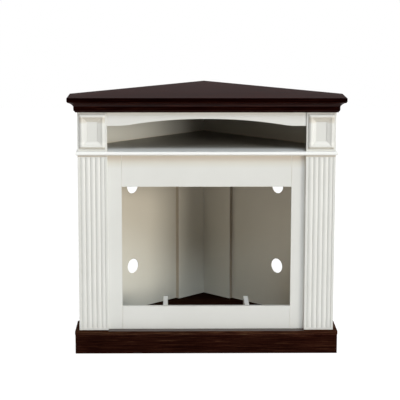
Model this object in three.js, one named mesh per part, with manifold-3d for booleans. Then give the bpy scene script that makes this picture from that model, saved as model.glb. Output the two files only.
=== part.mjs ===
// Corner mantel with an empty firebox opening and an open media bay.
// Millimetres, +Z up. The front faces -Y and the rear corner points to +Y, and the origin is on the
// floor in the middle of the outer box. While the pieces are made, y = 0 is the top's front edge.
import * as THREE from "three";
import { mergeVertices } from "three/addons/utils/BufferGeometryUtils.js";
import Module from "manifold-3d";

const wasm = await Module();
wasm.setup();

// ---- Driving dimensions --------------------------------------------------------------------

// Plan of the top board, which sets how the piece fits into the room's corner
const TOP_WIDTH = 1067;
const TOP_RETURN = 164; // straight side edge, before the edge turns along the room's wall

// Heights, from the floor up
const PLINTH_HEIGHT = 75.4;
const HEARTH_THICKNESS = 15;
const FIREBOX_HEIGHT = 693.1; // hearth board to media shelf
const SHELF_THICKNESS = 15;
const BAY_HEIGHT = 152.5; // media shelf to crown moulding
const CROWN_HEIGHT = 43;
const TOP_THICKNESS = 15;

// Fits
const FIT = 0.3; // clearance left between two pieces that seat on each other
const BOARD = 15; // side panels and valance
const BACK_PANEL = 3; // thin panels nailed on the back
const FRAME_BOARD = 18; // front frame, plinth, rails and corner boards

// Body, set back from the top's edges
const TOP_OVERHANG = 36.5; // past each side of the body
const PANEL_SETBACK = 14; // back panels inside the top's 45 degree edges
const PILASTER_FACE = 42; // pilaster and frieze faces behind the top's front edge
const FRAME_FACE = 60; // front frame's face behind the top's front edge

// Top and its nose
const TOP_NOSE_RADIUS = 2;

// Crown moulding, as insets from the top's edge and heights above the moulding's lower edge
const CROWN_TOP_INSET = 2;
const CROWN_FILLET = 3; // height of the upright fillet above the cove
const CROWN_COVE_REACH = 15.5; // how far the cove's pull point lies behind the fillet
const CROWN_COVE_DROP = 4; // and how far below it
const CROWN_BAND_INSET = 24;
const CROWN_BAND_TOP = 23;
const CROWN_BAND_BOTTOM = 13.5;
const CROWN_FOOT_INSET = 29;
const CROWN_FOOT_HEIGHT = 4;

// Media shelf
const SHELF_OVERHANG = 8.5; // past the pilasters' faces and past the sides
const SHELF_NOSE_RADIUS = 7.2;

// Pilasters and their reeds
const PILASTER_WIDTH = 114;
const REED_COUNT = 5;
const REED_MARGIN = 9; // plain strip at each side
const REED_DEPTH = 4; // from the face to the bottom of the grooves
const REED_DROP = 0.3; // the reeds' crests stay this far below the face
const REED_STOP = 8; // plain strip at each end
const REED_CUTTER_FRONT = PILASTER_FACE - 1; // the cutter begins a little outside the board

// Frieze blocks and the moulding frames on them
const FRIEZE_THICKNESS = 18;
const FRIEZE_MARGIN_SIDE = 7; // plain strips outside the frame
const FRIEZE_MARGIN_TOP = 8;
const FRIEZE_MARGIN_BOTTOM = 10;
const MOULDING_WIDTH = 29;
const MOULDING_CREST = 10; // the bead's crest, from the outer edge
const MOULDING_HEIGHT = 9; // at the crest
const MOULDING_EDGE = 2.5; // thickness at the outer edge
const MOULDING_BEAD_WIDTH = 15; // the bead ends and the inward slope begins here
const MOULDING_SLOPE_HEIGHT = 6; // where the slope leaves the bead
const MOULDING_LIP = 2; // thickness at the inner edge

// Arched valance
const VALANCE_SETBACK = 5; // behind the frieze blocks' faces
const VALANCE_END_DEPTH = 54;
const VALANCE_MID_DEPTH = 27;
const VALANCE_SHOULDER = 48; // straight lower edge at each end
const VALANCE_END_PULL = 40; // how far the arch leaves its end level, before it rises
const VALANCE_MID_PULL = 205; // half of the arch's nearly level middle

// Front frame
const OPENING_WIDTH = 658;
const BOTTOM_RAIL_HEIGHT = 91.9;
const HEADER_HEIGHT = 125.5;

// Rails that carry an insert
const INSERT_RAIL_SPACING = 322; // between the middles of the two rails
const INSERT_RAIL_LENGTH = 143;

// Rear corner
const CORNER_BOARD_WIDTH = 152;
const HOLE_DIAMETER = 60;
const HOLE_FROM_MIDDLE = 298; // sideways from the middle plane
const HOLE_HEIGHTS = [181, 516]; // above the hearth board

// Hearth and plinth
const HEARTH_OVERHANG_SIDE = 17; // past the sides
const HEARTH_OVERHANG_FRONT = 17; // past the pilasters' faces
const HEARTH_NOSE_RADIUS = 1.5;
const PLINTH_SETBACK = 1.2; // behind the hearth board's edge

// Cleats and blocks
const CLEAT = 20; // square section
const TOP_CLEAT_LENGTH = 400;
const TOP_CLEAT_START = 60; // from the rear corner
const VALANCE_BLOCK_HEIGHT = 45;
const PLINTH_BLOCK_LEG = 55;

// Smoothness
const NOSE_STEPS = 6;
const CURVE_STEPS = 8;
const ARCH_STEPS = 24;
const HOLE_STEPS = 40;

// ---- Levels and lines worked out from them ---------------------------------------------------

const hearthBottom = PLINTH_HEIGHT;
const hearthTop = hearthBottom + HEARTH_THICKNESS;
const shelfBottom = hearthTop + FIREBOX_HEIGHT;
const shelfTop = shelfBottom + SHELF_THICKNESS;
const crownBottom = shelfTop + BAY_HEIGHT;
const topBottom = crownBottom + CROWN_HEIGHT;

const halfTop = TOP_WIDTH / 2;
const halfBody = halfTop - TOP_OVERHANG;
const halfOpening = OPENING_WIDTH / 2;
const sideInner = halfBody - BOARD;
const pilasterInner = halfBody - PILASTER_WIDTH;
const frameBack = FRAME_FACE + FRAME_BOARD;

// A 45 degree line is kept as its depth on the middle plane: y + |x| is the same all along it.
const wallLine = TOP_RETURN + halfTop;
const panelOuterLine = wallLine - PANEL_SETBACK * Math.SQRT2;
const panelInnerLine = panelOuterLine - BACK_PANEL * Math.SQRT2;
const insideLine = panelInnerLine - FIT * Math.SQRT2;

// ---- Materials -----------------------------------------------------------------------------

const whitePaint = () => new THREE.MeshStandardMaterial({ color: 0xdedad4, roughness: 0.5, metalness: 0 });
const espresso = () => new THREE.MeshStandardMaterial({ color: 0x2a1c18, roughness: 0.38, metalness: 0 });
const rawWood = () => new THREE.MeshStandardMaterial({ color: 0xb8925f, roughness: 0.75, metalness: 0 });

// ---- Building blocks -----------------------------------------------------------------------

function solid(geometry) {
  const plain = geometry.clone();
  plain.deleteAttribute("normal");
  plain.deleteAttribute("uv");
  const merged = mergeVertices(plain, 1e-4);
  return new wasm.Manifold(
    new wasm.Mesh({
      numProp: 3,
      vertProperties: new Float32Array(merged.attributes.position.array),
      triVerts: new Uint32Array(merged.index.array),
    }),
  );
}

function geometryOf(manifold) {
  const mesh = manifold.getMesh();
  const geometry = new THREE.BufferGeometry();
  geometry.setAttribute("position", new THREE.BufferAttribute(mesh.vertProperties, 3));
  geometry.setIndex(new THREE.BufferAttribute(mesh.triVerts, 1));
  return geometry;
}

const cut = (geometry, ...tools) =>
  geometryOf(tools.reduce((rest, tool) => rest.subtract(solid(tool)), solid(geometry)));

// A flat outline of [x, y] points, raised from one level to another
function plank(outline, bottom, top) {
  const shape = new THREE.Shape(outline.map(([x, y]) => new THREE.Vector2(x, y)));
  const geometry = new THREE.ExtrudeGeometry(shape, { depth: top - bottom, bevelEnabled: false });
  return geometry.translate(0, 0, bottom);
}

function block(x0, x1, y0, y1, z0, z1) {
  const geometry = new THREE.BoxGeometry(x1 - x0, y1 - y0, z1 - z0);
  return geometry.translate((x0 + x1) / 2, (y0 + y1) / 2, (z0 + z1) / 2);
}

// The five-sided plan of a board that stands in the corner
const cornerPlan = (halfWidth, front, line) => [
  [-halfWidth, front],
  [halfWidth, front],
  [halfWidth, line - halfWidth],
  [0, line],
  [-halfWidth, line - halfWidth],
];

// A board with that plan and rounded front and side edges; its 45 degree edges stay square
function nosedBoard(halfWidth, front, line, bottom, thickness, radius) {
  const spare = 4 * radius;
  const outline = cornerPlan(halfWidth, front, line + spare).map(([x, y]) => new THREE.Vector2(x, y));
  const rounded = new THREE.ExtrudeGeometry(new THREE.Shape(outline), {
    depth: thickness - 2 * radius,
    bevelThickness: radius,
    bevelSize: radius,
    bevelOffset: -radius,
    bevelSegments: NOSE_STEPS,
  });
  rounded.translate(0, 0, bottom + radius);
  const squarePlan = cornerPlan(halfWidth + spare, front - spare, line);
  const square = plank(squarePlan, bottom - spare, bottom + thickness + spare);
  return geometryOf(solid(rounded).intersect(solid(square)));
}

// Plan of a piece that lies along the right-hand 45 degree wall, from its inner to its outer line
const wallPlan = (innerLine, outerLine, fromX, toX) => [
  [fromX, innerLine - fromX],
  [toX, innerLine - toX],
  [toX, outerLine - toX],
  [fromX, outerLine - fromX],
];

// A moulding length along +X, with its section given as inset (+Y) and height (+Z). Each end is
// sheared by its slope times the inset, which makes the mitres.
function mouldingLength(section, start, end, startSlope, endSlope) {
  const options = { depth: 1, bevelEnabled: false, curveSegments: CURVE_STEPS };
  const geometry = new THREE.ExtrudeGeometry(section, options);
  const position = geometry.attributes.position;
  for (let i = 0; i < position.count; i += 1) {
    const inset = position.getX(i);
    const height = position.getY(i);
    const atEnd = position.getZ(i) > 0.5;
    const along = atEnd ? end + endSlope * inset : start + startSlope * inset;
    position.setXYZ(i, along, inset, height);
  }
  return geometry;
}

const model = new THREE.Group();
model.position.y = -wallLine / 2;

function add(name, geometry, material, parent = model) {
  const mesh = new THREE.Mesh(geometry, material());
  mesh.name = name;
  parent.add(mesh);
  return mesh;
}

// A piece made for the right-hand side, and its mirror image on the left
function addPair(name, geometry, material) {
  add(`${name}_right`, geometry, material);
  add(`${name}_left`, geometry, material).scale.x = -1;
}

// ---- Plinth and hearth -----------------------------------------------------------------------

const hearthHalf = halfBody + HEARTH_OVERHANG_SIDE;
const hearthFront = PILASTER_FACE - HEARTH_OVERHANG_FRONT;
const plinthHalf = hearthHalf - PLINTH_SETBACK;
const plinthFront = hearthFront + PLINTH_SETBACK;
const plinthLine = wallLine - PLINTH_SETBACK * Math.SQRT2;
const plinthInnerHalf = plinthHalf - FRAME_BOARD;
const plinthBack = plinthFront + FRAME_BOARD;
const plinthInnerLine = plinthLine - FRAME_BOARD * Math.SQRT2;
const plinthTop = PLINTH_HEIGHT - FIT;

function addPlinth() {
  const front = [
    [-plinthHalf, plinthFront],
    [plinthHalf, plinthFront],
    [plinthInnerHalf, plinthBack],
    [-plinthInnerHalf, plinthBack],
  ];
  add("plinth_front", plank(front, 0, plinthTop), espresso);
  const side = [
    [plinthHalf, plinthFront + FIT],
    [plinthHalf, plinthLine - plinthHalf],
    [plinthInnerHalf, plinthInnerLine - plinthInnerHalf],
    [plinthInnerHalf, plinthBack + FIT],
  ];
  addPair("plinth_side", plank(side, 0, plinthTop), espresso);
  const back = [
    [FIT / 2, plinthLine - FIT / 2],
    [plinthHalf - FIT, plinthLine - plinthHalf + FIT],
    [plinthInnerHalf - FIT, plinthInnerLine - plinthInnerHalf + FIT],
    [FIT / 2, plinthInnerLine - FIT / 2],
  ];
  addPair("plinth_back", plank(back, 0, plinthTop), espresso);

  const blockX = plinthInnerHalf - FIT;
  const blockY = plinthBack + FIT;
  const frontBlock = [
    [blockX, blockY],
    [blockX, blockY + PLINTH_BLOCK_LEG],
    [blockX - PLINTH_BLOCK_LEG, blockY],
  ];
  addPair("plinth_block", plank(frontBlock, 0, plinthTop), rawWood);
  const blockLine = plinthInnerLine - FIT * Math.SQRT2;
  const backBlock = [
    [0, blockLine],
    [-PLINTH_BLOCK_LEG, blockLine - PLINTH_BLOCK_LEG],
    [PLINTH_BLOCK_LEG, blockLine - PLINTH_BLOCK_LEG],
  ];
  add("plinth_block_back", plank(backBlock, 0, plinthTop), rawWood);

  const bearerInner = (INSERT_RAIL_SPACING - FRAME_BOARD) / 2;
  const bearerOuter = bearerInner + FRAME_BOARD;
  const bearer = [
    [bearerInner, blockY],
    [bearerOuter, blockY],
    [bearerOuter, blockLine - bearerOuter],
    [bearerInner, blockLine - bearerInner],
  ];
  addPair("base_bearer", plank(bearer, 0, plinthTop), rawWood);
}

function addHearth() {
  const board = nosedBoard(
    hearthHalf,
    hearthFront,
    wallLine,
    hearthBottom,
    HEARTH_THICKNESS,
    HEARTH_NOSE_RADIUS,
  );
  add("hearth_board", board, espresso);
}

// ---- Cabinet round the firebox -----------------------------------------------------------------

const lowerBottom = hearthTop + FIT;
const lowerTop = shelfBottom - FIT;
const railTop = hearthTop + BOTTOM_RAIL_HEIGHT;

function addFrontFrame() {
  const stile = block(halfOpening, sideInner - FIT, FRAME_FACE, frameBack, lowerBottom, lowerTop);
  addPair("stile", stile, whitePaint);
  const railEnd = halfOpening - FIT;
  const bottomRail = block(-railEnd, railEnd, FRAME_FACE, frameBack, lowerBottom, railTop);
  add("bottom_rail", bottomRail, whitePaint);
  const headerBottom = shelfBottom - HEADER_HEIGHT;
  const header = block(-railEnd, railEnd, FRAME_FACE, frameBack, headerBottom, lowerTop);
  add("header_rail", header, whitePaint);
}

// The space between the reeds and the pilaster's plain face, which is cut away. Neighbouring
// reeds meet in a sharp groove.
function reedCutter() {
  const pitch = (PILASTER_WIDTH - 2 * REED_MARGIN) / REED_COUNT;
  const rise = REED_DEPTH - REED_DROP;
  const radius = (pitch * pitch) / (8 * rise) + rise / 2;
  const halfAngle = Math.asin(pitch / 2 / radius);
  const grooveY = PILASTER_FACE + REED_DEPTH;
  const centreY = PILASTER_FACE + REED_DROP + radius;
  const firstGroove = pilasterInner + REED_MARGIN;
  const shape = new THREE.Shape();
  shape.moveTo(firstGroove, REED_CUTTER_FRONT);
  shape.lineTo(firstGroove, grooveY);
  for (let i = 0; i < REED_COUNT; i += 1) {
    const centreX = firstGroove + (i + 0.5) * pitch;
    const middle = -Math.PI / 2;
    shape.absarc(centreX, centreY, radius, middle - halfAngle, middle + halfAngle, false);
  }
  shape.lineTo(firstGroove + REED_COUNT * pitch, REED_CUTTER_FRONT);
  const depth = lowerTop - lowerBottom - 2 * REED_STOP;
  const options = { depth, bevelEnabled: false, curveSegments: CURVE_STEPS };
  const cutter = new THREE.ExtrudeGeometry(shape, options);
  return cutter.translate(0, 0, lowerBottom + REED_STOP);
}

function addPilasters() {
  const board = block(pilasterInner, halfBody, PILASTER_FACE, FRAME_FACE - FIT, lowerBottom, lowerTop);
  addPair("pilaster", cut(board, reedCutter()), whitePaint);
}

// A side panel's plan: its rear edge is cut at 45 degrees, where the back panel seats
const sidePlan = (front) => [
  [sideInner, front],
  [halfBody, front],
  [halfBody, insideLine - halfBody],
  [sideInner, insideLine - sideInner],
];

// One thin panel covers each side of the back, from the hearth board to the top board
function addBackPanels() {
  const middleLine = (panelInnerLine + panelOuterLine) / 2;
  const drills = HOLE_HEIGHTS.map((height) => {
    const radius = HOLE_DIAMETER / 2;
    const drill = new THREE.CylinderGeometry(radius, radius, 4 * BACK_PANEL, HOLE_STEPS);
    drill.rotateZ(-Math.PI / 4);
    return drill.translate(HOLE_FROM_MIDDLE, middleLine - HOLE_FROM_MIDDLE, hearthTop + height);
  });
  const plan = wallPlan(panelInnerLine, panelOuterLine, FIT / 2, halfBody);
  const panel = plank(plan, lowerBottom, topBottom - FIT);
  addPair("back_panel", cut(panel, ...drills), whitePaint);
}

function addLowerCarcass() {
  addPair("side_panel_lower", plank(sidePlan(FRAME_FACE), lowerBottom, lowerTop), whitePaint);

  const innerLine = insideLine - FRAME_BOARD * Math.SQRT2;
  const innerEnd = CORNER_BOARD_WIDTH / Math.SQRT2;
  const outerEnd = innerEnd + FRAME_BOARD / Math.SQRT2;
  const cornerBoard = [
    [FIT / 2, innerLine - FIT / 2],
    [innerEnd, innerLine - innerEnd],
    [outerEnd, insideLine - outerEnd],
    [FIT / 2, insideLine - FIT / 2],
  ];
  addPair("corner_board", plank(cornerBoard, lowerBottom, lowerTop), whitePaint);

  const cleatOuter = sideInner - FIT;
  const cleatPlan = [
    [cleatOuter - CLEAT, frameBack + FIT],
    [cleatOuter, frameBack + FIT],
    [cleatOuter, insideLine - cleatOuter],
    [cleatOuter - CLEAT, insideLine - cleatOuter],
  ];
  addPair("hearth_cleat", plank(cleatPlan, lowerBottom, lowerBottom + CLEAT), rawWood);
  addPair("shelf_cleat", plank(cleatPlan, lowerTop - CLEAT, lowerTop), rawWood);
}

function addInsertRails() {
  const inner = (INSERT_RAIL_SPACING - FRAME_BOARD) / 2;
  const front = frameBack + FIT;
  const rail = block(inner, inner + FRAME_BOARD, front, front + INSERT_RAIL_LENGTH, lowerBottom, railTop);
  addPair("insert_rail", rail, whitePaint);
}

// ---- Media shelf and bay -------------------------------------------------------------------------

const upperBottom = shelfTop + FIT;
const upperTop = crownBottom - FIT;
const friezeBack = PILASTER_FACE + FRIEZE_THICKNESS;

function addShelf() {
  const board = nosedBoard(
    halfBody + SHELF_OVERHANG,
    PILASTER_FACE - SHELF_OVERHANG,
    insideLine,
    shelfBottom,
    SHELF_THICKNESS,
    SHELF_NOSE_RADIUS,
  );
  add("media_shelf", board, whitePaint);
}

// Section of the frieze moulding, from its outer edge inwards: a bead, then a slope to a thin lip
function friezeSection() {
  const crest = MOULDING_CREST;
  const height = MOULDING_HEIGHT;
  const shape = new THREE.Shape();
  shape.moveTo(0, 0);
  shape.lineTo(MOULDING_WIDTH, 0);
  shape.lineTo(MOULDING_WIDTH, MOULDING_LIP);
  shape.lineTo(MOULDING_BEAD_WIDTH, MOULDING_SLOPE_HEIGHT);
  shape.quadraticCurveTo((crest + MOULDING_BEAD_WIDTH) / 2, height, crest, height);
  shape.quadraticCurveTo(crest / 2, height, 0, MOULDING_EDGE);
  return shape;
}

function addFrieze() {
  const frieze = block(pilasterInner, halfBody, PILASTER_FACE, friezeBack, upperBottom, upperTop);
  addPair("frieze_block", frieze, whitePaint);

  const halfWidth = PILASTER_WIDTH / 2 - FRIEZE_MARGIN_SIDE;
  const halfHeight = (BAY_HEIGHT - FRIEZE_MARGIN_TOP - FRIEZE_MARGIN_BOTTOM) / 2;
  const lengths = [
    { place: "bottom", length: 2 * halfWidth, x: -halfWidth, y: -halfHeight },
    { place: "outer", length: 2 * halfHeight, x: halfWidth, y: -halfHeight },
    { place: "top", length: 2 * halfWidth, x: halfWidth, y: halfHeight },
    { place: "inner", length: 2 * halfHeight, x: -halfWidth, y: halfHeight },
  ];
  for (const [side, sign] of [["right", 1], ["left", -1]]) {
    const frame = new THREE.Group();
    frame.position.set(
      (sign * (pilasterInner + halfBody)) / 2,
      PILASTER_FACE - FIT,
      shelfTop + FRIEZE_MARGIN_BOTTOM + halfHeight,
    );
    frame.rotation.x = Math.PI / 2;
    frame.scale.x = sign;
    model.add(frame);
    lengths.forEach(({ place, length, x, y }, turn) => {
      const geometry = mouldingLength(friezeSection(), FIT / 2, length - FIT / 2, 1, -1);
      const mesh = add(`frieze_moulding_${place}_${side}`, geometry, whitePaint, frame);
      mesh.position.set(x, y, 0);
      mesh.rotation.z = (turn * Math.PI) / 2;
    });
  }
}

function addValance() {
  const half = pilasterInner - FIT;
  const archHalf = pilasterInner - VALANCE_SHOULDER;
  const endLevel = crownBottom - VALANCE_END_DEPTH;
  const midLevel = crownBottom - VALANCE_MID_DEPTH;
  const shape = new THREE.Shape();
  shape.moveTo(half, upperTop);
  shape.lineTo(-half, upperTop);
  shape.lineTo(-half, endLevel);
  shape.lineTo(-archHalf, endLevel);
  const endPull = archHalf - VALANCE_END_PULL;
  shape.bezierCurveTo(-endPull, endLevel, -VALANCE_MID_PULL, midLevel, 0, midLevel);
  shape.bezierCurveTo(VALANCE_MID_PULL, midLevel, endPull, endLevel, archHalf, endLevel);
  shape.lineTo(half, endLevel);
  const options = { depth: BOARD, bevelEnabled: false, curveSegments: ARCH_STEPS };
  const board = new THREE.ExtrudeGeometry(shape, options);
  board.rotateX(Math.PI / 2);
  const valanceBack = PILASTER_FACE + VALANCE_SETBACK + BOARD;
  add("valance", board.translate(0, valanceBack, 0), whitePaint);

  const blockFront = Math.max(valanceBack, friezeBack) + FIT;
  const glueBlock = block(
    pilasterInner - CLEAT,
    pilasterInner + CLEAT,
    blockFront,
    blockFront + CLEAT,
    upperTop - VALANCE_BLOCK_HEIGHT,
    upperTop,
  );
  addPair("valance_block", glueBlock, rawWood);
}

function addUpperCarcass() {
  addPair("side_panel_upper", plank(sidePlan(friezeBack + FIT), upperBottom, upperTop), whitePaint);

  const cleatFrom = TOP_CLEAT_START / Math.SQRT2;
  const cleatTo = cleatFrom + TOP_CLEAT_LENGTH / Math.SQRT2;
  const cleatPlan = wallPlan(insideLine - CLEAT * Math.SQRT2, insideLine, cleatFrom, cleatTo);
  addPair("top_cleat", plank(cleatPlan, topBottom - FIT - CLEAT, topBottom - FIT), rawWood);
}

// ---- Crown and top -----------------------------------------------------------------------------

// Section of the crown: a fillet and a cove under the top's nose, an upright band, a rounded foot
function crownSection() {
  const height = CROWN_HEIGHT - FIT;
  const backInset = TOP_OVERHANG + BOARD;
  const shape = new THREE.Shape();
  shape.moveTo(CROWN_FOOT_INSET, 0);
  shape.lineTo(backInset, 0);
  shape.lineTo(backInset, height);
  shape.lineTo(CROWN_TOP_INSET, height);
  const coveTop = height - CROWN_FILLET;
  shape.lineTo(CROWN_TOP_INSET, coveTop);
  const pullX = CROWN_TOP_INSET + CROWN_COVE_REACH;
  shape.quadraticCurveTo(pullX, coveTop - CROWN_COVE_DROP, CROWN_BAND_INSET, CROWN_BAND_TOP);
  shape.lineTo(CROWN_BAND_INSET, CROWN_BAND_BOTTOM);
  shape.quadraticCurveTo(CROWN_BAND_INSET, CROWN_FOOT_HEIGHT, CROWN_FOOT_INSET, CROWN_FOOT_HEIGHT);
  return shape;
}

function addCrown() {
  const front = mouldingLength(crownSection(), -halfTop, halfTop, 1, -1);
  add("crown_front", front.translate(0, 0, crownBottom), espresso);
  const side = mouldingLength(crownSection(), FIT * Math.SQRT2, insideLine - halfTop, 1, 1);
  side.rotateZ(Math.PI / 2);
  addPair("crown_side", side.translate(halfTop, 0, crownBottom), espresso);
}

function addTop() {
  const board = nosedBoard(halfTop, 0, wallLine, topBottom, TOP_THICKNESS, TOP_NOSE_RADIUS);
  add("top_board", board, espresso);
}

addPlinth();
addHearth();
addFrontFrame();
addPilasters();
addBackPanels();
addLowerCarcass();
addInsertRails();
addShelf();
addFrieze();
addValance();
addUpperCarcass();
addCrown();
addTop();

export default model;
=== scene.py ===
# Looks of a corner mantel: satin white paint, an espresso stained top, crown and base, and bare
# wood inside. Metres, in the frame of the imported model: front to -Y, rear corner to +Y.
import math

import bmesh
import bpy
from mathutils import Matrix, Vector


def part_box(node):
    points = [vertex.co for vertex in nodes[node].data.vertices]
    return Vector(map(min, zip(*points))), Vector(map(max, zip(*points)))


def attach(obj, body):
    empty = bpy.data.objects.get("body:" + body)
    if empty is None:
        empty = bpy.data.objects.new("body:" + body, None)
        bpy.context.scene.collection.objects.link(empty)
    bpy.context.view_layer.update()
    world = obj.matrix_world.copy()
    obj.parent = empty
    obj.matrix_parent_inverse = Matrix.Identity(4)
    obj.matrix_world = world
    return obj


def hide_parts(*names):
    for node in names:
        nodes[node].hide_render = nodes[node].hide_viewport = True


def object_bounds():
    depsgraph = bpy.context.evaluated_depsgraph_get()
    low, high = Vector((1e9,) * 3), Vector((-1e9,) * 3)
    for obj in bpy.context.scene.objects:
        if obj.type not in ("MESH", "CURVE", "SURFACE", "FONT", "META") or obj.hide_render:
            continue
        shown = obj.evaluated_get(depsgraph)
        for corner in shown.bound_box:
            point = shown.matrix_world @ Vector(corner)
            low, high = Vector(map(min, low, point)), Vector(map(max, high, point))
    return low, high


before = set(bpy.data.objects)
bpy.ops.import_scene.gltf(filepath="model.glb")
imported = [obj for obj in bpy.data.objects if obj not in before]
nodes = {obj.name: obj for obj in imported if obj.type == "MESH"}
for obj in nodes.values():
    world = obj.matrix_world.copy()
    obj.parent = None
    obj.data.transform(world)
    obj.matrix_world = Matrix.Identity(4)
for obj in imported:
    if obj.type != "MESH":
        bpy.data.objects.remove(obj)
cad_low, cad_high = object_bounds()

IMAGE_SIDE = 400  # pixels of the photograph and of its camera's frame

# Camera: in the photograph's direction, but further away and looking down more, which lets its
# shift stay small
CAMERA_PLACE = Vector((-0.1071, -5.6748, 1.5865))
CAMERA_PITCH = math.radians(9.506)  # below the horizon
CAMERA_YAW = math.radians(0.866)  # to the right of +Y
CAMERA_ROLL = math.radians(0.102)
CAMERA_SHIFT = -0.05
FOCAL_PIXELS = 1411.4
SENSOR_WIDTH = 36.0
CAMERA_REACH = 100

# Eased edges, by kind of piece
BOARD_EASE = 0.0009
MOULDING_EASE = 0.0004
THIN_EASE = 0.0003
BLOCK_EASE = 0.0012
EASE_STEPS = 3
SHARP_ANGLE = math.radians(32)

# What counts as one point, and as one flat face, in a node's mesh
SAME_POINT = 1e-5
FLAT_ANGLE = math.radians(0.3)


# ---- Node helpers ----------------------------------------------------------------------------


class Material:
    """A node material whose parts are added one call at a time."""

    def __init__(self, name):
        self.data = bpy.data.materials.new(name)
        self.data.use_nodes = True
        self.tree = self.data.node_tree
        self.shader = self.tree.nodes["Principled BSDF"]

    def node(self, kind, **settings):
        made = self.tree.nodes.new(kind)
        for key, value in settings.items():
            if key in made.inputs:
                made.inputs[key].default_value = value
            else:
                setattr(made, key, value)
        return made

    def link(self, source, target):
        self.tree.links.new(source, target)

    def set(self, **values):
        for key, value in values.items():
            self.shader.inputs[key.replace("_", " ")].default_value = value

    def place(self, stretch=(1, 1, 1), turn=0):
        """Coordinates in metres, turned about Z and then stretched."""
        texture = self.node("ShaderNodeTexCoord")
        turned = self.node("ShaderNodeMapping", Rotation=(0, 0, turn))
        stretched = self.node("ShaderNodeMapping", Scale=stretch)
        self.link(texture.outputs["Object"], turned.inputs["Vector"])
        self.link(turned.outputs["Vector"], stretched.inputs["Vector"])
        return stretched.outputs["Vector"]

    def noise(self, vector, scale, detail=3, roughness=0.5, distortion=0):
        made = self.node("ShaderNodeTexNoise", Scale=scale, Detail=detail, Roughness=roughness)
        made.inputs["Distortion"].default_value = distortion
        self.link(vector, made.inputs["Vector"])
        return made.outputs["Fac"]

    def along(self, axis, start, end):
        """0 to 1 between two places on an axis, in metres."""
        texture = self.node("ShaderNodeTexCoord")
        parts = self.node("ShaderNodeSeparateXYZ")
        made = self.node("ShaderNodeMapRange")
        made.inputs["From Min"].default_value = start
        made.inputs["From Max"].default_value = end
        self.link(texture.outputs["Object"], parts.inputs[0])
        self.link(parts.outputs[axis], made.inputs["Value"])
        return made.outputs["Result"]

    def ramp(self, value, *stops):
        """Colours by value: each stop is a position and a colour."""
        made = self.node("ShaderNodeValToRGB")
        elements = made.color_ramp.elements
        while len(elements) < len(stops):
            elements.new(0.5)
        for element, (position, colour) in zip(elements, stops):
            element.position = position
            element.color = (*colour, 1)
        self.link(value, made.inputs["Fac"])
        return made.outputs["Color"]

    def scaled(self, value, low, high):
        """The value's 0 to 1 as a range between low and high."""
        made = self.node("ShaderNodeMapRange")
        made.inputs["To Min"].default_value = low
        made.inputs["To Max"].default_value = high
        self.link(value, made.inputs["Value"])
        return made.outputs["Result"]

    def multiplied(self, colour, tone, share=1.0):
        made = self.node("ShaderNodeMix", data_type="RGBA", blend_type="MULTIPLY")
        self.link(colour, made.inputs["A"])
        self.link(tone, made.inputs["B"])
        made.inputs["Factor"].default_value = share
        return made.outputs["Result"]

    def drifted(self, colour, drifts):
        """The colour times each drift: an axis, its start and end in metres, and the stops between."""
        for axis, start, end, *stops in drifts:
            colour = self.multiplied(colour, self.ramp(self.along(axis, start, end), *stops))
        return colour

    def bumps(self, *layers):
        """Stacks bump layers, each a height with its depth in metres."""
        below = None
        for height, depth in layers:
            made = self.node("ShaderNodeBump", Strength=1.0, Distance=depth)
            self.link(height, made.inputs["Height"])
            if below is not None:
                self.link(below, made.inputs["Normal"])
            below = made.outputs["Normal"]
        self.link(below, self.shader.inputs["Normal"])


# ---- Materials -------------------------------------------------------------------------------

PLAIN = (1, 1, 1)  # a tone that changes nothing


def white_paint(name, light, shade, grain, drifts=()):
    """Sprayed satin paint: a soft orange peel over board that lets a little grain through."""
    paint = Material(name)
    plain = paint.place()
    along = paint.place(grain)
    clouds = paint.noise(plain, scale=5.5, detail=4)
    colour = paint.ramp(clouds, (0.3, shade), (0.7, light))
    paint.link(paint.drifted(colour, drifts), paint.shader.inputs["Base Color"])
    gloss = paint.noise(plain, scale=38)
    paint.link(paint.scaled(gloss, 0.36, 0.5), paint.shader.inputs["Roughness"])
    peel = paint.noise(plain, scale=420, detail=2)
    fibres = paint.noise(along, scale=6, detail=5, roughness=0.6)
    paint.bumps((fibres, 0.00012), (peel, 0.00005))
    paint.set(Specular_IOR_Level=0.45)
    return paint.data


# Stain from the darkest streaks to the lightest, before a piece's tint
STAIN_TONES = [
    (0.0058, 0.0008, 0.0005),
    (0.0110, 0.0016, 0.0010),
    (0.0215, 0.0042, 0.0024),
    (0.0480, 0.0130, 0.0070),
]
STREAK_STOPS = (0.34, 0.48, 0.60, 0.72)

# Lowest and highest roughness of the stained wood, by place
SATIN = (0.34, 0.46)
TOP_SATIN = (0.42, 0.56)
LIP_SATIN = (0.26, 0.36)
WEAR_AND_HIGHLIGHT_SATIN = (0.30, 0.42)


def espresso(name, grain, turn=0, tint=PLAIN, sheen=0.004, roughness=SATIN, drifts=()):
    """Dark stained veneer with reddish pores along the grain, whose shine is set by place."""
    wood = Material(name)
    along = wood.place(grain, turn)
    streaks = wood.noise(along, scale=4.5, detail=6, roughness=0.68, distortion=0.3)
    pores = wood.noise(along, scale=38, detail=4, roughness=0.7)
    clouds = wood.noise(wood.place(), scale=3.2, detail=2)
    tones = [tuple(part * share for part, share in zip(tone, tint)) for tone in STAIN_TONES]
    stain = wood.ramp(streaks, *zip(STREAK_STOPS, tones))
    dark = wood.ramp(pores, (0.38, (0.42, 0.40, 0.40)), (0.56, PLAIN))
    pored = wood.multiplied(stain, dark, 0.8)
    uneven = wood.ramp(clouds, (0.3, (0.8, 0.8, 0.8)), (0.7, (1.14, 1.08, 1.06)))
    colour = wood.drifted(wood.multiplied(pored, uneven), drifts)
    wood.link(colour, wood.shader.inputs["Base Color"])
    wood.link(wood.scaled(streaks, *roughness), wood.shader.inputs["Roughness"])
    wood.bumps((streaks, 0.00015), (pores, 0.00006))
    wood.set(Specular_IOR_Level=sheen)
    return wood.data


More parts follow.
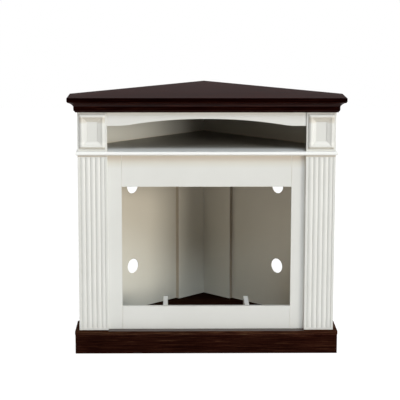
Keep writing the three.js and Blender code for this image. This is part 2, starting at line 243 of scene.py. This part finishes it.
def softwood(name, grain, turn=0):
    """Planed softwood, as used for cleats and blocks inside."""
    wood = Material(name)
    along = wood.place(grain, turn)
    rings = wood.noise(along, scale=7, distortion=0.9)
    fibres = wood.noise(along, scale=55, detail=4, roughness=0.7)
    body = wood.ramp(
        rings, (0.36, (0.50, 0.31, 0.15)), (0.52, (0.66, 0.46, 0.26)), (0.66, (0.56, 0.36, 0.18))
    )
    fine = wood.ramp(fibres, (0.3, (0.86, 0.84, 0.8)), (0.7, PLAIN))
    wood.link(wood.multiplied(body, fine), wood.shader.inputs["Base Color"])
    wood.link(wood.scaled(fibres, 0.62, 0.8), wood.shader.inputs["Roughness"])
    wood.bumps((rings, 0.0002), (fibres, 0.00012))
    return wood.data


def hardboard(name):
    """Raw brown hardboard, the outer face of the thin back panels."""
    board = Material(name)
    plain = board.place()
    flecks = board.noise(plain, scale=260, detail=5, roughness=0.75)
    clouds = board.noise(plain, scale=7)
    fine = board.ramp(
        flecks, (0.34, (0.13, 0.072, 0.036)), (0.55, (0.235, 0.142, 0.078)), (0.72, (0.34, 0.225, 0.135))
    )
    uneven = board.ramp(clouds, (0.3, (0.86, 0.84, 0.82)), (0.7, PLAIN))
    board.link(board.multiplied(fine, uneven), board.shader.inputs["Base Color"])
    board.link(board.scaled(flecks, 0.6, 0.85), board.shader.inputs["Roughness"])
    board.bumps((flecks, 0.00018))
    return board.data


ACROSS = (1.8, 48, 48)  # grain runs left to right
DEEP = (48, 1.8, 48)  # grain runs front to back
UPRIGHT = (48, 48, 1.8)  # grain runs up and down
CORNER_TURN = math.radians(45)
WEAR_AND_HIGHLIGHT_GRAIN = (30, 30, 30)  # the edges' wear and painted highlight show no one direction

# Paint, light and shaded patches
FACE_LIGHT = (0.735, 0.735, 0.705)
FACE_SHADE = (0.700, 0.699, 0.668)
# The shelf's and rails' paint is lighter than the front's: painted light against their shade
SHELF_LIGHT = (0.885, 0.890, 0.875)
SHELF_SHADE = (0.860, 0.865, 0.850)
# The inside walls' paint is lighter and warmer than the front's: painted light against their shade and for
# warm bounce light
INSIDE_LIGHT = (0.885, 0.858, 0.765)
INSIDE_SHADE = (0.860, 0.830, 0.735)
# Eased edges: partly wear, partly a painted highlight along them
WEAR_AND_HIGHLIGHT_LIGHT = (0.80, 0.79, 0.75)
WEAR_AND_HIGHLIGHT_SHADE = (0.70, 0.68, 0.62)
LEFT_EDGE_LIGHT = (0.680, 0.600, 0.480)  # thin, dirty paint on the corner boards' cut edges, with painted seam shade, darker on the right
LEFT_EDGE_SHADE = (0.600, 0.520, 0.400)
RIGHT_EDGE_LIGHT = (0.400, 0.340, 0.265)
RIGHT_EDGE_SHADE = (0.340, 0.285, 0.220)

# Heights that the tones follow
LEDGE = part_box("media_shelf")[0][2]
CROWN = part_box("crown_front")[0][2]
FRIEZE_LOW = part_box("frieze_moulding_bottom_left")[0][2]
FRIEZE_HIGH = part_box("frieze_moulding_top_left")[1][2]

# How far the tones reach down from them
LEDGE_BAND = 0.06
LEDGE_LINE = 0.007
CROWN_BAND = 0.018

# Tones that drift along an axis, most of them painted light and shade: the axis, the start and end in
# metres, and the stops between.
# They were set by comparing renders with the photograph, so its own soft shading is in them too.
# Painted shade, tan, below the ledge: a broad band on the boards and a thin line on the pilasters
LEDGE_PAINTED_SHADE = (
    "Z", LEDGE - LEDGE_BAND, LEDGE,
    (0.10, PLAIN), (0.45, (0.96, 0.935, 0.88)), (0.70, (0.94, 0.86, 0.78)),
    (0.98, (0.95, 0.83, 0.71)), (1, PLAIN),
)
PILASTER_PAINTED_SHADE = ("Z", LEDGE - LEDGE_LINE, LEDGE, (0, PLAIN), (0.5, (0.74, 0.65, 0.56)))
# Painted light: the valance is paler close under the crown, against the crown's shadow
VALANCE_PAINTED_LIGHT = (
    "Z", CROWN - CROWN_BAND, CROWN,
    (0, PLAIN), (0.5, (1.10, 1.09, 1.07)), (1, (1.22, 1.19, 1.13)),
)
# Painted shade, tan, on the frieze frames' down-turned slopes and painted light on their up-turned slopes
FRIEZE_PAINTED_SHADING = (
    "Z", FRIEZE_LOW, FRIEZE_HIGH,
    (0, (0.82, 0.78, 0.70)), (0.05, (0.88, 0.84, 0.78)), (0.075, (1.06, 1.06, 1.06)),
    (0.16, (1.12, 1.12, 1.12)), (0.22, (1.02, 1.02, 1.02)), (0.27, PLAIN), (0.72, PLAIN),
    (0.785, (0.88, 0.84, 0.78)), (0.895, (0.78, 0.72, 0.64)), (0.925, (0.98, 0.96, 0.93)), (1, PLAIN),
)
# Painted shade: the media shelf gets much darker towards its rear
SHELF_PAINTED_SHADE = (
    "Y", -0.28, 0.12,
    (0, (1.03, 1.03, 1.03)), (0.07, PLAIN), (0.24, (0.50, 0.48, 0.44)),
    (0.45, (0.42, 0.40, 0.36)), (1, (0.22, 0.20, 0.17)),
)
# Painted light and shade on the walls: warmer high in the firebox, darker to the rear, and darker at the
# right of the bay
WALL_PAINTED_WARMTH = ("Z", 0.10, 0.96, (0.10, (0.98, 1, 1)), (0.74, (1, 0.93, 0.86)), (0.80, (1, 0.93, 0.86)))
BAY_DRIFT = (*WALL_PAINTED_WARMTH, (0.82, (0.98, 1.01, 1.04)))
RIGHT_BAY_PAINTED_SHADE = (*WALL_PAINTED_WARMTH, (0.82, (0.64, 0.63, 0.61)))
WALL_PAINTED_SHADE = ("Y", -0.27, 0.25, (0, PLAIN), (1, (0.84, 0.84, 0.84)))
# Painted shade: the hearth board gets much darker towards its rear, from a pale tint
HEARTH_PAINTED_SHADE = ("Y", -0.10, 0.30, (0, PLAIN), (1, (0.10, 0.07, 0.05)))

# Shares of the stain's red, green and blue, by place
# The top board's nose is stained darker than the crown: painted shade
NOSE_TINT = (0.42, 0.40, 0.45)
CROWN_TINT = (0.75, 0.85, 0.9)
PAINTED_REFLECTION_TINT = (1.5, 1.5, 1.4)  # the crown's down-turned faces, paler by a painted reflection of the floor
# The top face is stained paler than the crown: a painted sheen
TOP_TINT = (1.5, 1.4, 1.5)
BASE_TINT = (1.6, 2.7, 2.6)
HEARTH_TINT = (3.6, 8.5, 7.8)
# The eased edges' paler stain: partly wear, partly a painted highlight
WEAR_AND_HIGHLIGHT_TINT = (3.4, 4.6, 4.8)

# Specular level of the stain, by place. It is far below a real lacquer's almost everywhere,
# which keeps the photograph's deep dark tones
CROWN_SHEEN = 0.002
PAINTED_REFLECTION_SHEEN = 0.11
NOSE_SHEEN = 0.001
TOP_SHEEN = 0.0078
HEARTH_SHEEN = 0.0004
LIP_SHEEN = 0.45  # the hearth board's strip in front of the frame
WEAR_AND_HIGHLIGHT_SHEEN = 0.05


def face_paint(name, grain, *drifts):
    return white_paint(name, FACE_LIGHT, FACE_SHADE, grain, drifts)


def inside_paint(name, *drifts):
    return white_paint(name, INSIDE_LIGHT, INSIDE_SHADE, UPRIGHT, drifts)


MATERIALS = {
    "upright_paint": face_paint("white_paint_upright", UPRIGHT),
    # Stiles, pilasters and rails carry painted shade below the ledge
    "stile_paint": face_paint("white_paint_stile", UPRIGHT, LEDGE_PAINTED_SHADE),
    "pilaster_paint": face_paint("white_paint_pilaster", UPRIGHT, PILASTER_PAINTED_SHADE),
    "frieze_paint": face_paint("white_paint_frieze", UPRIGHT, FRIEZE_PAINTED_SHADING),
    "across_paint": face_paint("white_paint_across", ACROSS, LEDGE_PAINTED_SHADE),
    "valance_paint": face_paint("white_paint_valance", ACROSS, VALANCE_PAINTED_LIGHT),
    "shelf_paint": white_paint("white_paint_shelf", SHELF_LIGHT, SHELF_SHADE, ACROSS, (SHELF_PAINTED_SHADE,)),
    "inside_paint": inside_paint("white_paint_inside", BAY_DRIFT, WALL_PAINTED_SHADE),
    "dull_inside_paint": inside_paint("white_paint_shaded_inside", RIGHT_BAY_PAINTED_SHADE, WALL_PAINTED_SHADE),
    # The insert rails use the lighter shelf paint: painted light
    "rail_paint": white_paint("white_paint_rail", SHELF_LIGHT, SHELF_SHADE, DEEP),
    # The corner boards' cut edges: dirty paint and painted seam shade, darker on the right
    "left_edge_paint": white_paint("white_paint_left_edge", LEFT_EDGE_LIGHT, LEFT_EDGE_SHADE, UPRIGHT),
    "right_edge_paint": white_paint("white_paint_right_edge", RIGHT_EDGE_LIGHT, RIGHT_EDGE_SHADE, UPRIGHT),
    "across_stain": espresso("espresso_across", ACROSS, 0, CROWN_TINT, CROWN_SHEEN),
    "deep_stain": espresso("espresso_deep", DEEP, 0, CROWN_TINT, CROWN_SHEEN),
    # The crown's down-turned faces: a painted reflection of the floor
    "burnished_across": espresso("espresso_painted_reflection_across", ACROSS, 0, PAINTED_REFLECTION_TINT, PAINTED_REFLECTION_SHEEN),
    "burnished_deep": espresso("espresso_painted_reflection_deep", DEEP, 0, PAINTED_REFLECTION_TINT, PAINTED_REFLECTION_SHEEN),
    # The top board: painted shade on the nose, painted sheen on the top face
    "nose_stain": espresso("espresso_nose", ACROSS, 0, NOSE_TINT, NOSE_SHEEN),
    "top_stain": espresso("espresso_top", ACROSS, 0, TOP_TINT, TOP_SHEEN, TOP_SATIN),
    "hearth_stain": espresso("espresso_hearth", ACROSS, 0, BASE_TINT, LIP_SHEEN, LIP_SATIN),
    # Painted shade darkens the hearth board towards its rear
    "hearth_board_stain": espresso(
        "espresso_hearth_board", ACROSS, 0, HEARTH_TINT, HEARTH_SHEEN, drifts=(HEARTH_PAINTED_SHADE,)
    ),
    "base_stain": espresso("espresso_base", ACROSS, 0, BASE_TINT),
    "base_deep_stain": espresso("espresso_base_deep", DEEP, 0, BASE_TINT),
    "right_wall_stain": espresso("espresso_right_wall", ACROSS, CORNER_TURN, BASE_TINT),
    "left_wall_stain": espresso("espresso_left_wall", ACROSS, -CORNER_TURN, BASE_TINT),
    "across_wood": softwood("softwood_across", ACROSS),
    "deep_wood": softwood("softwood_deep", DEEP),
    "upright_wood": softwood("softwood_upright", UPRIGHT),
    "right_wall_wood": softwood("softwood_right_wall", ACROSS, CORNER_TURN),
    "left_wall_wood": softwood("softwood_left_wall", ACROSS, -CORNER_TURN),
    "hardboard": hardboard("hardboard_back"),
    # The eased edges' finishes: partly wear, partly a painted highlight
    "wear_and_highlight_paint": white_paint("white_paint_wear_and_highlight", WEAR_AND_HIGHLIGHT_LIGHT, WEAR_AND_HIGHLIGHT_SHADE, WEAR_AND_HIGHLIGHT_GRAIN),
    "wear_and_highlight_stain": espresso("espresso_wear_and_highlight", WEAR_AND_HIGHLIGHT_GRAIN, 0, WEAR_AND_HIGHLIGHT_TINT, WEAR_AND_HIGHLIGHT_SHEEN, WEAR_AND_HIGHLIGHT_SATIN),
}

# Each node's name begins with a key here, which gives its finish, eased edge and record slot
FINISHES = {
    "top_board": ("nose_stain", THIN_EASE, "espresso_finish"),
    "crown_front": ("across_stain", MOULDING_EASE, "espresso_finish"),
    "crown_side": ("deep_stain", MOULDING_EASE, "espresso_finish"),
    "hearth_board": ("hearth_board_stain", BOARD_EASE, "espresso_finish"),
    "plinth_front": ("base_stain", BOARD_EASE, "espresso_finish"),
    "plinth_side": ("base_deep_stain", BOARD_EASE, "espresso_finish"),
    "plinth_back_right": ("right_wall_stain", BOARD_EASE, "espresso_finish"),
    "plinth_back_left": ("left_wall_stain", BOARD_EASE, "espresso_finish"),
    "plinth_block": ("upright_wood", BLOCK_EASE, "raw_wood"),
    "base_bearer": ("deep_wood", BLOCK_EASE, "raw_wood"),
    "hearth_cleat": ("deep_wood", BLOCK_EASE, "raw_wood"),
    "shelf_cleat": ("deep_wood", BLOCK_EASE, "raw_wood"),
    "top_cleat_left": ("left_wall_wood", BLOCK_EASE, "raw_wood"),
    "top_cleat_right": ("right_wall_wood", BLOCK_EASE, "raw_wood"),
    "valance_block": ("across_wood", BLOCK_EASE, "raw_wood"),
    "frieze_block": ("upright_paint", BOARD_EASE, "white_paint"),
    "frieze_moulding": ("frieze_paint", MOULDING_EASE, "white_paint"),
    "valance": ("valance_paint", BOARD_EASE, "white_paint"),
    "media_shelf": ("shelf_paint", BOARD_EASE, "white_paint"),
    "pilaster": ("pilaster_paint", MOULDING_EASE, "white_paint"),
    "stile": ("stile_paint", BOARD_EASE, "white_paint"),
    "header_rail": ("across_paint", BOARD_EASE, "white_paint"),
    "bottom_rail": ("across_paint", BOARD_EASE, "white_paint"),
    "insert_rail": ("rail_paint", BOARD_EASE, "white_paint"),
    "side_panel": ("upright_paint", BOARD_EASE, "white_paint"),
    "back_panel": ("inside_paint", THIN_EASE, "white_paint"),
    # The right back panel carries painted shade in the bay
    "back_panel_right": ("dull_inside_paint", THIN_EASE, "white_paint"),
    "corner_board": ("inside_paint", BOARD_EASE, "white_paint"),
}

FRAME_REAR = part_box("bottom_rail")[1][1]
PILASTER_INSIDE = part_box("pilaster_right")[0][0]
SIDE, FRONT, REAR = cad_high[0], cad_low[1], cad_high[1]
UP = Vector((0, 0, 1))

# Faces whose finish differs from the rest of their piece: the way they look and the least cosine
# to it, how far they reach to the sides, front and rear, and their finish
FACE_FINISHES = {
    "top_board": (UP, 0.9, SIDE, FRONT, REAR, "top_stain"),
    "hearth_board": (UP, 0.9, PILASTER_INSIDE, FRONT, FRAME_REAR, "hearth_stain"),
    # The crown's down-turned faces take the paler stain, a painted reflection
    "crown_front": (-UP, 0.35, SIDE, FRONT, REAR, "burnished_across"),
    "crown_side": (-UP, 0.35, SIDE, FRONT, REAR, "burnished_deep"),
    "back_panel": (Vector((0, 1, 0)), 0.5, SIDE, FRONT, REAR, "hardboard"),
    "corner_board_left": (Vector((-1, -1, 0)).normalized(), 0.9, SIDE, FRONT, REAR, "left_edge_paint"),
    "corner_board_right": (Vector((1, -1, 0)).normalized(), 0.9, SIDE, FRONT, REAR, "right_edge_paint"),
}

# The back panels' mitred ends meet in the middle plane here, as if paint filled their thin joint
JOINED = "back_panel"
JOINT_GAP = 0.001

# Finish of the eased edges, by record slot: partly wear, partly a painted highlight along them
WEAR_AND_HIGHLIGHT = {"white_paint": "wear_and_highlight_paint", "espresso_finish": "wear_and_highlight_stain"}


# ---- Pieces ----------------------------------------------------------------------------------


def cleaned_copy(name):
    """The node's mesh with its facets joined, as an object of its own."""
    mesh = bpy.data.meshes.new(name + "_dressed")
    work = bmesh.new()
    work.from_mesh(nodes[name].data)
    bmesh.ops.remove_doubles(work, verts=work.verts, dist=SAME_POINT)
    bmesh.ops.dissolve_limit(work, angle_limit=FLAT_ANGLE, verts=work.verts, edges=work.edges)
    work.to_mesh(mesh)
    work.free()
    mesh.materials.clear()
    piece = bpy.data.objects.new(name + "_dressed", mesh)
    bpy.context.scene.collection.objects.link(piece)
    return piece


def close_joint(piece):
    for vertex in piece.data.vertices:
        if abs(vertex.co.x) < JOINT_GAP:
            vertex.co.x = 0


def ease_edges(piece, width, finish_index):
    mesh = piece.data
    mesh.shade_smooth()
    mesh.set_sharp_from_angle(angle=SHARP_ANGLE)
    ease = piece.modifiers.new("eased_edges", "BEVEL")
    ease.width = width
    ease.segments = EASE_STEPS
    ease.limit_method = "ANGLE"
    ease.angle_limit = SHARP_ANGLE
    ease.harden_normals = True
    ease.use_clamp_overlap = True
    ease.material = finish_index


def matched(name, table):
    """The table's entry with the longest key that the name begins with."""
    keys = [key for key in table if name.startswith(key)]
    return table[max(keys, key=len)] if keys else None


def finish_faces(piece, way, facing, aside, front, rear, finish):
    """Gives the faces that look one way, within some bounds, a finish of their own."""
    mesh = piece.data
    mesh.materials.append(MATERIALS[finish])
    work = bmesh.new()
    work.from_mesh(mesh)
    cuts = [(0, line, 0) for line in (front, rear)] + [(line, 0, 0) for line in (-aside, aside)]
    for place in cuts:
        everything = work.verts[:] + work.edges[:] + work.faces[:]
        across = (1, 0, 0) if place[0] else (0, 1, 0)
        bmesh.ops.bisect_plane(work, geom=everything, dist=SAME_POINT, plane_co=place, plane_no=across)
    work.normal_update()
    for face in work.faces:
        middle = face.calc_center_median()
        within = abs(middle.x) < aside and front < middle.y < rear
        if within and face.normal.dot(way) > facing:
            face.material_index = 1
    work.to_mesh(mesh)
    work.free()


def dress(name):
    finish, ease, slot = matched(name, FINISHES)
    piece = cleaned_copy(name)
    if name.startswith(JOINED):
        close_joint(piece)
    piece.data.materials.append(MATERIALS[finish])
    other = matched(name, FACE_FINISHES)
    if other:
        finish_faces(piece, *other)
    # The eased edges get a finish that is partly wear, partly a painted highlight
    wear_and_highlight = -1
    if slot in WEAR_AND_HIGHLIGHT and not name.startswith(JOINED):
        wear_and_highlight = len(piece.data.materials)
        piece.data.materials.append(MATERIALS[WEAR_AND_HIGHLIGHT[slot]])
    ease_edges(piece, ease, wear_and_highlight)
    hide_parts(name)
    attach(piece, "root")


for node_name in sorted(nodes):
    dress(node_name)


# ---- Stage -----------------------------------------------------------------------------------

FLOOR_SIDE = 16.0
FLOOR_COLOUR = (0.80, 0.80, 0.80)
FLOOR_GLOW_SHARE = 0.70  # of the floor's look in the camera, the rest shows its shadows
FLOOR_GLOW = 1.31

AMBIENT = 0.17
AMBIENT_COLOUR = (1.0, 0.83, 0.66)

# Soft suns: azimuth to the right of the front, elevation, strength, softness and colour
SUNS = [
    (46, 4, 1.62, 22, (1.0, 0.95, 0.865)),
    (18, 46, 1.72, 36, (0.83, 0.92, 1.0)),
    (-50, 20, 0.20, 50, (1.0, 0.86, 0.70)),
    (140, 35, 0.50, 40, (0.87, 0.935, 1.0)),
    (-140, 35, 0.50, 40, (0.87, 0.935, 1.0)),
]


def seen_directly(tree):
    """1 where a ray comes from the camera, a gloss or a glass, and 0 on all other rays."""
    path = tree.nodes.new("ShaderNodeLightPath")
    seen = path.outputs["Is Camera Ray"]
    for output in ("Is Glossy Ray", "Is Transmission Ray"):
        either = tree.nodes.new("ShaderNodeMath")
        either.operation = "MAXIMUM"
        tree.links.new(seen, either.inputs[0])
        tree.links.new(path.outputs[output], either.inputs[1])
        seen = either.outputs[0]
    return seen


def ranged(tree, value, low, high):
    spread = tree.nodes.new("ShaderNodeMapRange")
    spread.inputs["To Min"].default_value = low
    spread.inputs["To Max"].default_value = high
    tree.links.new(value, spread.inputs["Value"])
    return spread.outputs["Result"]


def add_floor():
    mesh = bpy.data.meshes.new("floor")
    half = FLOOR_SIDE / 2
    corners = [(-half, -half, 0), (half, -half, 0), (half, half, 0), (-half, half, 0)]
    mesh.from_pydata(corners, [], [(0, 1, 2, 3)])
    floor = bpy.data.objects.new("floor", mesh)
    bpy.context.scene.collection.objects.link(floor)
    pale = bpy.data.materials.new("pale_floor")
    pale.use_nodes = True
    tree = pale.node_tree
    tree.nodes.clear()
    matt = tree.nodes.new("ShaderNodeBsdfDiffuse")
    matt.inputs["Color"].default_value = (*FLOOR_COLOUR, 1)
    glow = tree.nodes.new("ShaderNodeEmission")
    glow.inputs["Strength"].default_value = FLOOR_GLOW
    both = tree.nodes.new("ShaderNodeMixShader")
    out = tree.nodes.new("ShaderNodeOutputMaterial")
    tree.links.new(ranged(tree, seen_directly(tree), 0, FLOOR_GLOW_SHARE), both.inputs["Fac"])
    tree.links.new(matt.outputs[0], both.inputs[1])
    tree.links.new(glow.outputs[0], both.inputs[2])
    tree.links.new(both.outputs[0], out.inputs["Surface"])
    mesh.materials.append(pale)


def add_sun(azimuth, elevation, strength, softness, colour):
    lamp = bpy.data.lights.new("sun", "SUN")
    lamp.color = colour
    lamp.energy = strength
    lamp.angle = math.radians(softness)
    aside = math.radians(azimuth)
    above = math.radians(elevation)
    way = Vector((
        math.sin(aside) * math.cos(above),
        -math.cos(aside) * math.cos(above),
        math.sin(above),
    ))
    holder = bpy.data.objects.new("sun", lamp)
    holder.rotation_euler = (-way).to_track_quat("-Z", "Y").to_euler()
    bpy.context.scene.collection.objects.link(holder)


def add_world():
    """Soft even light on the object, and white where the camera or a gloss looks past it."""
    world = bpy.data.worlds.new("studio")
    world.use_nodes = True
    bpy.context.scene.world = world
    tree = world.node_tree
    background = tree.nodes["Background"]
    seen = seen_directly(tree)
    tree.links.new(ranged(tree, seen, AMBIENT, 1), background.inputs["Strength"])
    tint = tree.nodes.new("ShaderNodeMix")
    tint.data_type = "RGBA"
    colours = [socket for socket in tint.inputs if socket.type == "RGBA"]
    colours[0].default_value = (*AMBIENT_COLOUR, 1)
    colours[1].default_value = (1, 1, 1, 1)
    tree.links.new(seen, tint.inputs[0])
    tinted = [socket for socket in tint.outputs if socket.type == "RGBA"][0]
    tree.links.new(tinted, background.inputs["Color"])


def add_camera():
    lens = bpy.data.cameras.new("camera")
    lens.sensor_width = SENSOR_WIDTH
    lens.lens = FOCAL_PIXELS / IMAGE_SIDE * SENSOR_WIDTH
    lens.shift_y = CAMERA_SHIFT
    lens.clip_end = CAMERA_REACH
    camera = bpy.data.objects.new("camera", lens)
    turn = Matrix.Rotation(-CAMERA_YAW, 4, "Z")
    tilt = Matrix.Rotation(math.pi / 2 - CAMERA_PITCH, 4, "X")
    roll = Matrix.Rotation(CAMERA_ROLL, 4, "Z")
    camera.matrix_world = Matrix.Translation(CAMERA_PLACE) @ turn @ tilt @ roll
    bpy.context.scene.collection.objects.link(camera)
    bpy.context.scene.camera = camera


add_floor()
for sun in SUNS:
    add_sun(*sun)
add_world()
add_camera()
bpy.context.scene.view_settings.view_transform = "Standard"
